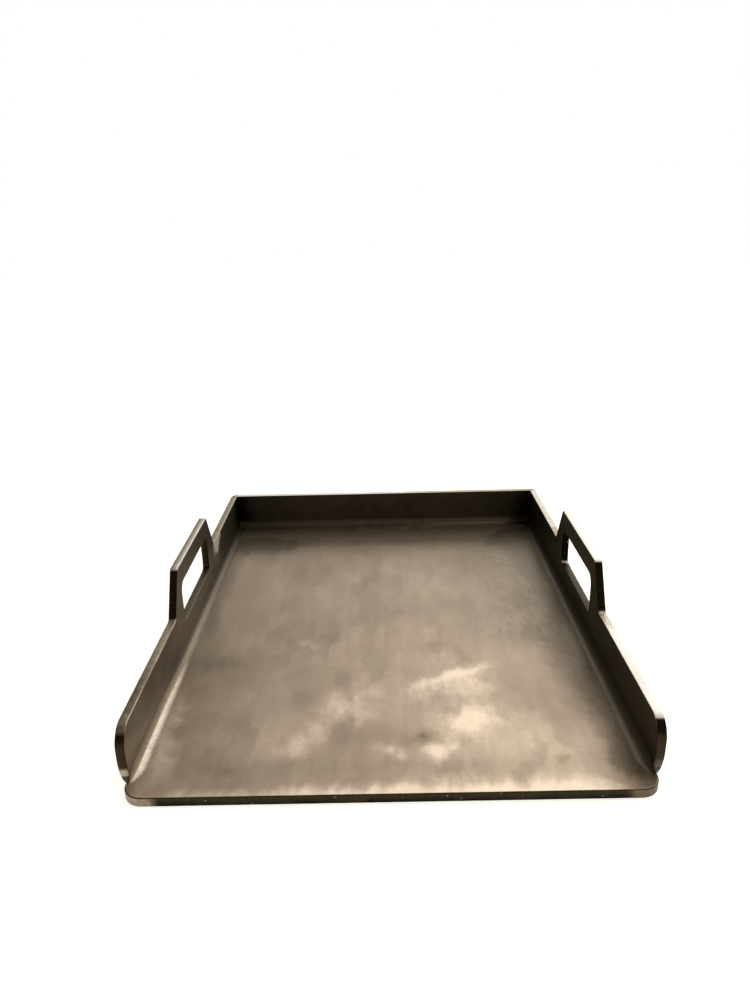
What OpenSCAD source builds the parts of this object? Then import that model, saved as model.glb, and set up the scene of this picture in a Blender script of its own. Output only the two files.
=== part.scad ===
// Camp griddle plate: an open-fronted tray welded from flat steel plates.
// The front lip faces -Y, Z is up, and the origin is at the middle of the underside.

/* [Base plate] */
// Inside width between the side plates
inner_w = 300; // [220:1:420]
// Inside depth from the front lip to the back plate
inner_d = 400; // [300:1:520]
// Thickness of the base plate
base_t = 6; // [4:0.5:10]
// Radius of the lip's two front corners, seen from above
lip_corner_r = 12; // [4:0.5:20]
// How far the lip reaches past the inside width on each side, in front of the side plates
lip_over = 2; // [0:0.5:6]

/* [Side and back plates] */
// Thickness of the two side plates
side_t = 5.5; // [4:0.5:10]
// Thickness of the back plate
back_t = 5.5; // [4:0.5:10]
// Height of the side plates from the underside
side_h = 40; // [36:1:60]
// Height of the back plate from the underside
back_h = 40; // [24:1:60]
// Distance of the side plates' front ends behind the lip
side_setback = 13.5; // [6:0.5:30]
// Radius of the side plates' upper front corner
nose_top_r = 13; // [3:0.5:16]
// Radius of the sweep that draws the lower front corner back
nose_toe_r = 38; // [26:1:60]
// Height above the underside at which that sweep starts
nose_toe_h = 22; // [14:1:26]

/* [Handles] */
// Length of each handle along its top edge
handle_top_l = 101; // [80:1:120]
// Length of each handle at its feet
handle_foot_l = 138; // [124:1:180]
// Rise of each handle above the side plate's top edge
handle_rise = 32; // [24:1:50]
// Radius of each handle's upper corners
handle_corner_r = 4; // [1:0.5:8]
// Radius in the hollow at each handle's feet
handle_foot_r = 4; // [1:0.5:8]
// Distance of the handles' middle behind the middle of their side plates
handle_shift = 3; // [-60:1:60]
// Depth of the grip bar above the hand slot
grip_h = 15; // [10:0.5:20]
// Length of the hand slot
slot_l = 90; // [70:1:100]
// Height of the hand slot
slot_h = 30; // [22:1:36]
// Radius of the hand slot's upper corners
slot_r = 8; // [2:0.5:10]
// Radius of the hand slot's lower corners
slot_low_r = 4; // [2:0.5:10]

/* [Welds] */
// Leg of the fillet beads inside the tray
weld_leg = 6; // [3:0.5:8]
// Radius of the beads' hollow face
weld_hollow_r = 8.5; // [8.5:0.5:20]

/* [Hidden] */
$fn = 96;

plate_colour = "#7d7264";
wall_colour = "#5f564a";
weld_colour = "#a89c8a";

// Depth stations, from the lip at the front to the back plate's outer face
y_rear = (inner_d + back_t) / 2;
y_back_face = y_rear - back_t;
y_lip = -y_rear;
y_side_front = y_lip + side_setback;
side_l = y_back_face - y_side_front;

// Each handle rises from the middle part of its side plate, and its slot is centred in it
handle_y = side_l / 2 + handle_shift;
handle_top = side_h + handle_rise;
handle_lean = atan((handle_foot_l - handle_top_l) / 2 / handle_rise);
slot_top = handle_top - grip_h;

// Share of a corner radius that its arc takes from each edge where the handle's slope meets a level edge
corner_share = tan((90 - handle_lean) / 2);

// How far the sweep has drawn the front end back at the height of the cooking floor
toe_run = nose_toe_r - sqrt(pow(nose_toe_r, 2) - pow(max(nose_toe_h - base_t, 0), 2));

y_toe = y_side_front + toe_run;

// The floor beads start where both the side plate and the base plate's straight edge are there to carry them
y_weld_front = max(y_toe, y_lip + lip_corner_r);
seam_l = y_back_face - y_weld_front;

// Centre of the circle that cuts a bead's hollow face through both of its toes
hollow_c = (weld_leg + sqrt(2 * pow(weld_hollow_r, 2) - pow(weld_leg, 2))) / 2;

// The outside corner beads are ground flush with the thinner of the two plates that they join
corner_weld_r = min(side_t, back_t);
corner_weld_h = min(side_h, back_h);

// Flat plate as wide as its lip, with the two front corners rounded
module lip_outline() {
    lip_x = inner_w / 2 + lip_over;
    corner_x = lip_x - lip_corner_r;
    corner_y = y_lip + lip_corner_r;
    translate([-lip_x, corner_y])
        square([2 * lip_x, y_back_face - corner_y]);
    translate([-corner_x, y_lip])
        square([2 * corner_x, lip_corner_r]);
    for (side = [-1, 1])
        translate([side * corner_x, corner_y])
            circle(lip_corner_r);
}

// The same plate, cut back to the inside width behind the side plates' toes
module base_outline() {
    difference() {
        lip_outline();
        for (end = [0, 1])
            mirror([end, 0])
                translate([inner_w / 2, y_toe])
                    square([lip_over + side_t, y_back_face - y_toe]);
    }
}

// Rectangle that stands on its lower edge, centred along its length, with upper and lower corner radii
module slot_outline(length, height, upper_r, lower_r) {
    translate([-length / 2, lower_r])
        square([length, height - upper_r - lower_r]);
    translate([-length / 2 + lower_r, 0])
        square([length - 2 * lower_r, lower_r]);
    translate([-length / 2 + upper_r, height - upper_r])
        square([length - 2 * upper_r, upper_r]);
    for (side = [-1, 1]) {
        translate([side * (length / 2 - lower_r), lower_r])
            circle(lower_r);
        translate([side * (length / 2 - upper_r), height - upper_r])
            circle(upper_r);
    }
}

// Wall strip, from its front end at zero, with the upper front corner rounded and the lower one swept back
module wall_outline() {
    difference() {
        square([side_l, side_h]);
        translate([0, side_h - nose_top_r])
            difference() {
                square(nose_top_r);
                translate([nose_top_r, 0])
                    circle(nose_top_r);
            }
        difference() {
            square([nose_toe_r, nose_toe_h]);
            translate([nose_toe_r, nose_toe_h])
                circle(nose_toe_r);
        }
    }
}

// One end of the handle, from its middle to its sloping edge, with a rounded shoulder and a hollow foot
module handle_half() {
    shoulder = handle_corner_r * corner_share;
    hollow = handle_foot_r * corner_share;
    run_x = sin(handle_lean);
    run_y = cos(handle_lean);
    top_x = handle_top_l / 2;
    foot_x = handle_foot_l / 2;
    polygon([
        [0, side_h],
        [foot_x, side_h],
        [top_x + shoulder * run_x, handle_top - shoulder * run_y],
        [top_x - shoulder, handle_top],
        [0, handle_top]
    ]);
    translate([top_x - shoulder, handle_top - handle_corner_r])
        circle(handle_corner_r);
    difference() {
        polygon([
            [foot_x, side_h],
            [foot_x + hollow, side_h],
            [foot_x + hollow, side_h + handle_foot_r],
            [foot_x - hollow * run_x, side_h + hollow * run_y]
        ]);
        translate([foot_x + hollow, side_h + handle_foot_r])
            circle(handle_foot_r);
    }
}

// Whole side plate, from its front end at zero
module side_outline() {
    difference() {
        union() {
            wall_outline();
            for (end = [0, 1])
                translate([handle_y, 0])
                    mirror([end, 0])
                        handle_half();
        }
        translate([handle_y, slot_top - slot_h])
            slot_outline(slot_l, slot_h, slot_r, slot_low_r);
    }
}

// Side plate whose left face is at the given place across the tray
module side_plate(x) {
    color(wall_colour)
        translate([x, y_side_front, 0])
            rotate([90, 0, 90])
                linear_extrude(side_t)
                    side_outline();
}

// Section of a fillet bead in the corner of two faces, with a hollow face
module bead_section() {
    difference() {
        square(weld_leg);
        translate([hollow_c, hollow_c])
            circle(weld_hollow_r);
    }
}

// Bead along a side plate's floor seam, on the left of the tray
module side_bead() {
    translate([-inner_w / 2, y_back_face, base_t])
        rotate([90, 0, 0])
            linear_extrude(seam_l)
                bead_section();
}

// Bead along the back plate's floor seam, from side plate to side plate
module back_bead() {
    translate([-inner_w / 2, y_back_face, base_t])
        rotate([90, 0, 90])
            linear_extrude(inner_w)
                mirror([1, 0])
                    bead_section();
}

// Quarter-round bead that fills the open outside corner at the rear left
module corner_bead() {
    translate([-inner_w / 2, y_back_face, 0])
        linear_extrude(corner_weld_h)
            intersection() {
                circle(corner_weld_r);
                translate([-corner_weld_r, 0])
                    square(corner_weld_r);
            }
}

module base_plate() {
    color(plate_colour)
        linear_extrude(base_t)
            base_outline();
}

module left_side_plate() {
    side_plate(-inner_w / 2 - side_t);
}

module right_side_plate() {
    side_plate(inner_w / 2);
}

module back_plate() {
    color(wall_colour)
        translate([-inner_w / 2, y_back_face, 0])
            cube([inner_w, back_t, back_h]);
}

module left_seam_weld() {
    color(weld_colour)
        side_bead();
}

module right_seam_weld() {
    color(weld_colour)
        mirror([1, 0, 0])
            side_bead();
}

// The back bead stops where it runs into the side beads
module back_seam_weld() {
    color(weld_colour)
        difference() {
            back_bead();
            side_bead();
            mirror([1, 0, 0])
                side_bead();
        }
}

module rear_left_corner_weld() {
    color(weld_colour)
        corner_bead();
}

module rear_right_corner_weld() {
    color(weld_colour)
        mirror([1, 0, 0])
            corner_bead();
}

base_plate();
left_side_plate();
right_side_plate();
back_plate();
left_seam_weld();
right_seam_weld();
back_seam_weld();
rear_left_corner_weld();
rear_right_corner_weld();
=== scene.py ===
"""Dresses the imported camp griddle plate, an open-fronted tray welded from hot-rolled steel plates.

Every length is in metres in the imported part's frame: the lip faces -Y and Z is up.
"""

import logging
import math
from collections.abc import Callable
from dataclasses import dataclass, field
from enum import Enum
from functools import partial

import bpy
import numpy as np
from mathutils import Matrix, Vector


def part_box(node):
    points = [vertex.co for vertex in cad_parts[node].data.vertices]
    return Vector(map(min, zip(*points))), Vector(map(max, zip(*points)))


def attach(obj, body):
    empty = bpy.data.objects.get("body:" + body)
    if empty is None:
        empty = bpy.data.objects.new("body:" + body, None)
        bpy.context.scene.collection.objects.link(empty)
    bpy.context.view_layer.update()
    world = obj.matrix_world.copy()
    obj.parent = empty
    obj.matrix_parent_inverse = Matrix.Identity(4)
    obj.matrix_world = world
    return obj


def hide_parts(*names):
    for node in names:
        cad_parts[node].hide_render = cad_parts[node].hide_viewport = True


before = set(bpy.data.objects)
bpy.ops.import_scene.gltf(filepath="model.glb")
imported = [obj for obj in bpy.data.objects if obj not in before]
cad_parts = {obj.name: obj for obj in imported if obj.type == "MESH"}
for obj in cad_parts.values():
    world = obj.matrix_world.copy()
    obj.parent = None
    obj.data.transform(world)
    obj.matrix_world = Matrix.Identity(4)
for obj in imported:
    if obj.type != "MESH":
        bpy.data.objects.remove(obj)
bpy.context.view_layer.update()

Array = np.ndarray
Colour = tuple[float, float, float, float]
Range = tuple[float, float]
# Two values of a pattern, and the two that they are turned into
Remap = tuple[float, float, float, float]
# Rubbed places, stains, painted highlights and painted shade: middle, half length and half width in mm, turn
# in degrees, strength, below zero for stains and painted shade
MarkedPlaces = tuple[tuple[float, float, float, float, float, float], ...]
Place = Callable[[Array, Array], Array]
Socket = bpy.types.NodeSocket
Adder = Callable[..., Socket]

MM = 0.001
IMAGE_LONG_SIDE = 1000
# Slack of a comparison
TINY = 1e-6
ARRIS_ROWS = 5
FACE_ROWS = 31
# Upward part of an edge's normal at which it begins to count as facing up, and at which it does
LEVEL_FROM = (0.68, 0.74)
# Waver of a rubbed place's border and its longest wave, in mm, and the slants and seeds of its two ways
WAVER = 4.5
WAVER_LENGTH = 55.0
WAVER_SLANTS = (0.4, -0.3)
WAVER_SEEDS = (31, 37)
# Wear of a slot's arrises, as a share of the outer ones
SLOT_WEAR = 0.15
# Drift of an arris that is broken by hand, as a share of its radius
HAND_DRIFT = 0.25
# Distances from a welded end between which an arris opens to its full radius
WELD_FADE = (0.5 * MM, 4 * MM)
# Points no deeper than this lie on the face
FACE_DEPTH = 0.1 * MM
SHARP_ANGLE = math.radians(40)
# Flat margin beside each arris, so that broad faces stay flat when they are shaded
MARGIN = 0.5 * MM
# Settings of a mix of colours and of a change of range with soft ends
COLOURS = {"output": 2, "data_type": "RGBA"}
SOFT = {"interpolation_type": "SMOOTHSTEP"}
# Colour about which a noise swings
NOISE_MIDDLE = (0.5, 0.5, 0.5)

log = logging.getLogger("griddle")


class Side(Enum):
    """The two mirrored sides of the tray, by the sign of their X."""

    LEFT = -1
    RIGHT = 1


class Mark(Enum):
    """Per-vertex marks that the finishes read as attributes."""

    CUT = "cut"
    ARRIS = "arris"
    # Ground edges, partly painted highlight where upward edges face the light
    GROUND = "ground"
    LEVEL = "level"
    # Above zero rubbed places and painted highlights, below zero stains and painted shade
    BURNISH = "burnish"
    SPAN = "span"


class Axis(Enum):
    """Direction of a plate's thickness, along which its cut edges are grooved."""

    X = 0
    Y = 1
    Z = 2


def to_linear(code: str) -> Colour:
    """Turns an sRGB hex colour into linear RGBA by the standard curve.

    Args:
        code: Colour as #rrggbb.

    Returns:
        Linear red, green and blue, with an alpha of one.
    """
    srgb = np.array([int(code[i:i + 2], 16) for i in (1, 3, 5)]) / 255
    linear = np.where(srgb <= 0.04045, srgb / 12.92, ((srgb + 0.055) / 1.055) ** 2.4)
    return (*linear.tolist(), 1.0)


def add_node(
    tree: bpy.types.NodeTree,
    kind: str,
    inputs: dict[str | int, object] | tuple[object, ...] = (),
    output: str | int = 0,
    **settings: object,
) -> Socket | None:
    """Adds one node with its settings, and fills its sockets with values or links.

    Args:
        tree: Node tree that gets the node.
        kind: Blender's name of the node type, without ShaderNode in front.
        inputs: Values, or the outputs that feed the sockets, by name or number or in the sockets' order.
        output: Name or number of the output that is wanted.
        settings: Properties of the node.

    Returns:
        The wanted output, or None from a node without outputs.
    """
    node = tree.nodes.new(f"ShaderNode{kind}")
    for name, value in settings.items():
        setattr(node, name, value)
    fed = inputs if isinstance(inputs, dict) else dict(enumerate(inputs))
    for key, value in fed.items():
        if isinstance(value, Socket):
            tree.links.new(value, node.inputs[key])
        else:
            node.inputs[key].default_value = value
    return node.outputs[output] if node.outputs else None


def fresh_tree(owner: bpy.types.Material | bpy.types.World) -> Adder:
    """Empties the nodes of a material or world.

    Args:
        owner: The material or world.

    Returns:
        The function that adds a node to it.
    """
    owner.use_nodes = True
    owner.node_tree.nodes.clear()
    return partial(add_node, owner.node_tree)


def close_material(
    add: Adder, colour: Socket, rough: Socket, metal: Socket, height: Socket, relief: Range,
) -> None:
    """Ends a material with its surface.

    Args:
        add: Adds a node to the material.
        colour: Colour of the surface.
        rough: Roughness of the surface.
        metal: How metallic the surface is.
        height: Pattern that stands out from the surface.
        relief: Strength and height of that pattern.
    """
    strength, depth = relief
    normal = add("Bump", {"Height": height, "Strength": strength, "Distance": depth})
    shader = add(
        "BsdfPrincipled", {"Base Color": colour, "Roughness": rough, "Normal": normal, "Metallic": metal},
    )
    add("OutputMaterial", {"Surface": shader})


def along_tray(width: float, length: float) -> tuple[float, float, float]:
    """Scale of a pattern with the given width, and the given length along the tray."""
    return 1 / width, 1 / length, 1 / width


def cad_box(node: str) -> tuple[Array, Array]:
    """Gives the lowest and highest corner of a CAD node as arrays."""
    low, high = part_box(node)
    return np.array(low), np.array(high)


def arc(centre: Array, radius: float, start: float, stop: float, count: int = 13) -> Array:
    """Points on a circular arc: centre + radius * (cos a, sin a) for evenly spaced angles a.

    Args:
        centre: Centre of the circle in the plane.
        radius: Radius of the circle.
        start: First angle in degrees.
        stop: Last angle in degrees.
        count: Number of points.

    Returns:
        The points, one per row.
    """
    angle = np.radians(np.linspace(start, stop, count))
    return np.asarray(centre) + radius * np.column_stack((np.cos(angle), np.sin(angle)))


def resample(loop: Array, step: float) -> Array:
    """Cuts each edge p to q of a closed loop into n equal parts, at p + (q - p) * i / n.

    Args:
        loop: Points of the loop, one per row.
        step: Longest part allowed, so n is the edge's length over step, rounded up.

    Returns:
        The finer loop, with the old points among its own.
    """
    edge = np.roll(loop, -1, axis=0) - loop
    parts = np.ceil(np.linalg.norm(edge, axis=1) / step - TINY).astype(int).clip(1)
    owner = np.repeat(np.arange(len(loop)), parts)
    first = np.repeat(np.cumsum(parts) - parts, parts)
    share = (np.arange(parts.sum()) - first) / parts[owner]
    return loop[owner] + edge[owner] * share[:, None]


def outward(loop: Array) -> Array:
    """Mitred outward normals: (a + b) / (1 + a.b) for the normals a and b of each point's two edges.

    Args:
        loop: Anticlockwise points, one per row.

    Returns:
        The normal at each point.
    """
    edge = np.roll(loop, -1, axis=0) - loop
    edge /= np.linalg.norm(edge, axis=1, keepdims=True)
    after = np.column_stack((edge[:, 1], -edge[:, 0]))
    before = np.roll(after, 1, axis=0)
    return (before + after) / (1 + (before * after).sum(axis=1, keepdims=True))


def ray_hits(loop: Array, centre: Array, angles: Array) -> Array:
    """Points where rays from a centre meet a loop that is seen whole from there.

    A ray along d meets the edge from p to q at p - (q - p) * (d x p) / (d x (q - p)).

    Args:
        loop: Anticlockwise points, whose angle about the centre always grows.
        centre: Start of the rays.
        angles: Directions of the rays in radians.

    Returns:
        One point for each ray.
    """
    rel = loop - centre
    own = np.unwrap(np.arctan2(rel[:, 1], rel[:, 0]))
    turned = own[0] + np.mod(angles - own[0], 2 * np.pi)
    first = np.searchsorted(own, turned, side="right") - 1
    p, q = rel[first], np.roll(rel, -1, axis=0)[first]
    d = np.column_stack((np.cos(angles), np.sin(angles)))
    cross_p = d[:, 0] * p[:, 1] - d[:, 1] * p[:, 0]
    cross_edge = d[:, 0] * (q - p)[:, 1] - d[:, 1] * (q - p)[:, 0]
    return centre + p - (q - p) * (cross_p / cross_edge)[:, None]


def smooth_step(value: Array, low: float, high: float) -> Array:
    """Rises from 0 at low to 1 at high as 3t^2 - 2t^3."""
    t = np.clip((value - low) / (high - low), 0, 1)
    return t * t * (3 - 2 * t)


def wander(position: Array, wave: float, seed: int) -> Array:
    """Slow irregular drift between -1 and 1: the mean of five sines of unrelated lengths and phases.

    Args:
        position: Distance along the piece.
        wave: Longest wavelength.
        seed: Seed of the phases.

    Returns:
        The drift at each position.
    """
    ratio = np.array([1.0, 1.73, 2.91, 4.37, 7.13])
    phase = np.random.default_rng(seed).uniform(0, 2 * np.pi, len(ratio))
    return np.sin(2 * np.pi * position[..., None] * ratio / wave + phase).mean(axis=-1)


def band_quads(rows: Array) -> Array:
    """Quads between neighbouring rows of vertex numbers, each row a closed loop."""
    ahead = np.roll(rows, -1, axis=1)
    return np.stack((rows[:-1], rows[1:], ahead[1:], ahead[:-1]), axis=-1).reshape(-1, 4)


def sheet_quads(grid: Array) -> Array:
    """Quads of an open grid of vertex numbers, anticlockwise when columns run right and rows run up."""
    return np.stack((grid[:-1, :-1], grid[:-1, 1:], grid[1:, 1:], grid[1:, :-1]), axis=-1).reshape(-1, 4)


def edge_rows(thickness: float, arris: Array) -> tuple[Array, Array]:
    """Rows that carry one face over its arris, across the cut edge and over the other arris.

    At a turn t from 0 to 90 degrees a row lies arris * (1 - sin t) inside the outline and
    arris * (1 - cos t) below its face; the second half mirrors the first.

    Args:
        thickness: Thickness of the plate.
        arris: Arris radius at each point of the outline.

    Returns:
        Inset from the outline and depth below the first face, rows by points.
    """
    turn = np.radians(np.linspace(0, 90, ARRIS_ROWS))[:, None]
    inset, depth = arris * (1 - np.sin(turn)), arris * (1 - np.cos(turn))
    return np.vstack((inset, inset[::-1])), np.vstack((depth, thickness - depth[::-1]))


def edge_marks(normal: Array) -> dict[Mark, Array]:
    """Marks of the rows that edge_rows gives.

    Args:
        normal: Outward normal at each point of the outline.

    Returns:
        Arris rows, the cut edge between them, and where that edge faces up in the outline's plane.
    """
    turn = np.linspace(0, 1, ARRIS_ROWS)
    half = {Mark.ARRIS: np.sin(np.pi * turn), Mark.CUT: smooth_step(turn, 0.0, 0.5)}
    marks = {
        mark: np.repeat(np.r_[rows, rows[::-1]][:, None], len(normal), axis=1) for mark, rows in half.items()
    }
    marks[Mark.LEVEL] = np.tile(smooth_step(normal[:, 1], *LEVEL_FROM), (2 * ARRIS_ROWS, 1))
    return marks


def rubbed(points: Array, marked_places: MarkedPlaces) -> Array:
    """Strength of rubbed places, stains, painted highlights and painted shade: the sum of strength *
    exp(-(a^2 + b^2)) over turned ellipses.

    The ellipses' borders drift as irregular waves run across the face both ways.

    Args:
        points: Points of the face's plane.
        marked_places: The places.

    Returns:
        The strength at each point.
    """
    x, y, half_l, half_w, turn, strength = np.array(marked_places).T
    px, py = points[:, :1] / MM, points[:, 1:2] / MM
    dx = px - x + WAVER * wander(py + WAVER_SLANTS[0] * px, WAVER_LENGTH, WAVER_SEEDS[0])
    dy = py - y + WAVER * wander(px + WAVER_SLANTS[1] * py, WAVER_LENGTH, WAVER_SEEDS[1])
    cos, sin = np.cos(np.radians(turn)), np.sin(np.radians(turn))
    a, b = (dx * cos + dy * sin) / half_l, (dy * cos - dx * sin) / half_w
    return (strength * np.exp(-(a ** 2 + b ** 2))).sum(axis=1)


@dataclass
class Surface:
    """Points, faces and marks of one piece."""

    points: Array
    faces: list[list[int]]
    marks: dict[Mark, Array] = field(default_factory=dict)

    def flip(self) -> None:
        """Turns every face round."""
        self.faces = [face[::-1] for face in self.faces]

    def to_object(self, name: str) -> bpy.types.Object:
        """Puts the surface into a new mesh object at the origin.

        Args:
            name: Name of the piece.

        Returns:
            The object, linked to the scene.
        """
        mesh = bpy.data.meshes.new(name)
        mesh.from_pydata(self.points.tolist(), [], self.faces)
        mesh.shade_smooth()
        mesh.set_sharp_from_angle(angle=SHARP_ANGLE)
        for mark in Mark:
            values = self.marks.get(mark, np.zeros(len(self.points)))
            layer = mesh.attributes.new(mark.value, "FLOAT", "POINT")
            layer.data.foreach_set("value", values.astype(np.float32).ravel())
        obj = bpy.data.objects.new(name, mesh)
        bpy.context.scene.collection.objects.link(obj)
        return obj

    def settle(self, node: str, slot: str, material: bpy.types.Material) -> None:
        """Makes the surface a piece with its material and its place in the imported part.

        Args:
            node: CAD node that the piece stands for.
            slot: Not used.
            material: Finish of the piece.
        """
        obj = self.to_object(f"dressed_{node}")
        obj.data.materials.append(material)
        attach(obj, "root")
        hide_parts(node)
        log.info("%s: %d points for %s", obj.name, len(self.points), node)


def panel_surface(loop: Array, across: int, thickness: float, arris: Array, place: Place) -> Surface:
    """Plate without a hole: two broad faces and the rounded edge between them.

    Each face is a Coons patch of the inset outline's four sides: with u across and v up, the two
    blends (1 - v) front + v back and (1 - u) left + u right, less the blend of the four corners.

    Args:
        loop: Anticlockwise outline from its front left corner, with opposite sides cut alike.
        across: Number of edges along the front side.
        thickness: Thickness of the plate.
        arris: Arris radius at each point of the outline.
        place: Puts points of the plane, at a depth below the first face, into the frame.

    Returns:
        The closed surface with its marks.
    """
    total = len(loop)
    along = total // 2 - across
    normal = outward(loop)
    inner = loop - normal * (arris + MARGIN)[:, None]
    sides = ((0, across), (across, along), (across + along, across), (2 * across + along, along))
    front, right, back, left = (
        inner.take(range(start, start + edges + 1), axis=0, mode="wrap") for start, edges in sides
    )
    back, left = back[::-1], left[::-1]
    u = np.linspace(0, 1, across + 1)[None, :, None]
    v = np.linspace(0, 1, along + 1)[:, None, None]
    face = (1 - v) * front[None] + v * back[None] + (1 - u) * left[:, None] + u * right[:, None]
    face -= (1 - v) * ((1 - u) * front[0] + u * front[-1]) + v * ((1 - u) * back[0] + u * back[-1])
    flat = face.reshape(-1, 2)
    inset, depth = edge_rows(thickness, arris)
    rim = loop - inset[..., None] * normal
    points = np.vstack((
        place(flat, np.zeros(len(flat))),
        place(rim.reshape(-1, 2), depth.ravel()),
        place(flat, np.full(len(flat), thickness)),
    ))
    grid = np.arange(len(flat)).reshape(along + 1, across + 1)
    ring = np.r_[grid[0, :-1], grid[:-1, -1], grid[-1, :0:-1], grid[:0:-1, 0]]
    below = len(flat) + rim.shape[0] * total
    rows = np.vstack((ring, len(flat) + np.arange(rim.shape[0] * total).reshape(-1, total), below + ring))
    faces = np.vstack((sheet_quads(grid), band_quads(rows), sheet_quads(below + grid)[:, ::-1]))
    blank = np.zeros(len(flat))
    marks = {mark: np.r_[blank, edge.ravel(), blank] for mark, edge in edge_marks(normal).items()}
    return Surface(points, faces.tolist(), marks)


def ring_surface(outer: Array, slot: Array, thickness: float, arris: Array, place: Place) -> Surface:
    """Plate with a hole: both faces, the outer edge and the hole's edge as one closed ring.

    Row by row, each face blends the slot's outline into the outer one as (1 - v) slot + v outer.

    Args:
        outer: Anticlockwise outer outline.
        slot: Anticlockwise outline of the hole, point for point with the outer one.
        thickness: Thickness of the plate.
        arris: Arris radius at each point.
        place: Puts points of the plane, at a depth below the first face, into the frame.

    Returns:
        The closed surface with its marks.
    """
    inset, depth = edge_rows(thickness, arris)
    out_normal, in_normal = outward(outer), -outward(slot)
    out_rim = outer - inset[..., None] * out_normal
    in_rim = (slot - inset[..., None] * in_normal)[::-1]
    margin = (arris + MARGIN)[:, None]
    v = np.linspace(0, 1, FACE_ROWS)[:, None, None]
    face = (1 - v) * (slot - in_normal * margin) + v * (outer - out_normal * margin)
    flat = np.zeros(face.shape[:2])
    plane = np.vstack((face, out_rim, face[::-1], in_rim))
    below = np.vstack((flat, depth, flat + thickness, depth[::-1]))
    numbers = np.arange(below.size).reshape(below.shape)
    faces = band_quads(np.vstack((numbers, numbers[:1])))
    out_marks, in_marks = edge_marks(out_normal), edge_marks(in_normal)
    in_marks[Mark.ARRIS] *= SLOT_WEAR
    marks = {mark: np.vstack((flat, edge, flat, in_marks[mark])).ravel() for mark, edge in out_marks.items()}
    return Surface(place(plane.reshape(-1, 2), below.ravel()), faces.tolist(), marks)


def tube_surface(rings: Array) -> Surface:
    """Closed tube through rings of points, with a flat cap at each end.

    Args:
        rings: Stations by section points.

    Returns:
        The closed surface, without marks.
    """
    stations, count = rings.shape[:2]
    numbers = np.arange(stations * count).reshape(stations, count)
    faces = band_quads(numbers).tolist()
    faces += [numbers[0].tolist(), numbers[-1, ::-1].tolist()]
    return Surface(rings.reshape(-1, 3), faces)


@dataclass(frozen=True)
class Rolling:
    """Clouds, patches and streaks of thinner and thicker scale, which run on from plate to weld."""

    cloud: float = 60 * MM
    # Width of patches and streaks, and their length along the tray
    patch: Range = (12 * MM, 25 * MM)
    streak: Range = (9 * MM, 150 * MM)
    # Shift of the patches' borders, its size, and how soft the borders are
    warp: float = 9 * MM
    warp_size: float = 18 * MM
    softness: float = 0.45
    patch_share: float = 0.27
    streak_share: float = 0.22
    contrast: Range = (0.34, 0.66)

    def fields(self, add: Adder, where: Socket) -> tuple[Socket, Socket]:
        """Adds the fields to a material.

        Args:
            add: Adds a node to the material.
            where: Place in the frame.

        Returns:
            The patches, and the tone from 0 to 1 that all three make together.
        """
        cloud = add("TexNoise", {"Vector": where, "Scale": 1 / self.cloud, "Detail": 3.0})
        # Patches are cells of even tone with soft, wandering borders
        wobble = add("TexNoise", {"Vector": where, "Scale": 1 / self.warp_size, "Detail": 3.0}, "Color")
        wobble = add("VectorMath", (wobble, NOISE_MIDDLE), operation="SUBTRACT")
        warped = add("VectorMath", (wobble, (self.warp,) * 3, where), operation="MULTIPLY_ADD")
        cells = add("Mapping", {"Vector": warped, "Scale": along_tray(*self.patch)})
        patch = add(
            "TexVoronoi", {"Vector": cells, "Scale": 1.0, "Smoothness": self.softness}, "Color",
            feature="SMOOTH_F1", distance="CHEBYCHEV",
        )
        # Streaks run along the tray
        long_way = add("Mapping", {"Vector": where, "Scale": along_tray(*self.streak)})
        streak = add("TexNoise", {"Vector": long_way, "Scale": 1.0, "Detail": 3.0})
        blend = add("Mix", {0: self.patch_share, 2: cloud, 3: patch})
        blend = add("Mix", {0: self.streak_share, 2: blend, 3: streak})
        return patch, add("MapRange", (blend, *self.contrast))


ROLLING = Rolling()


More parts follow.
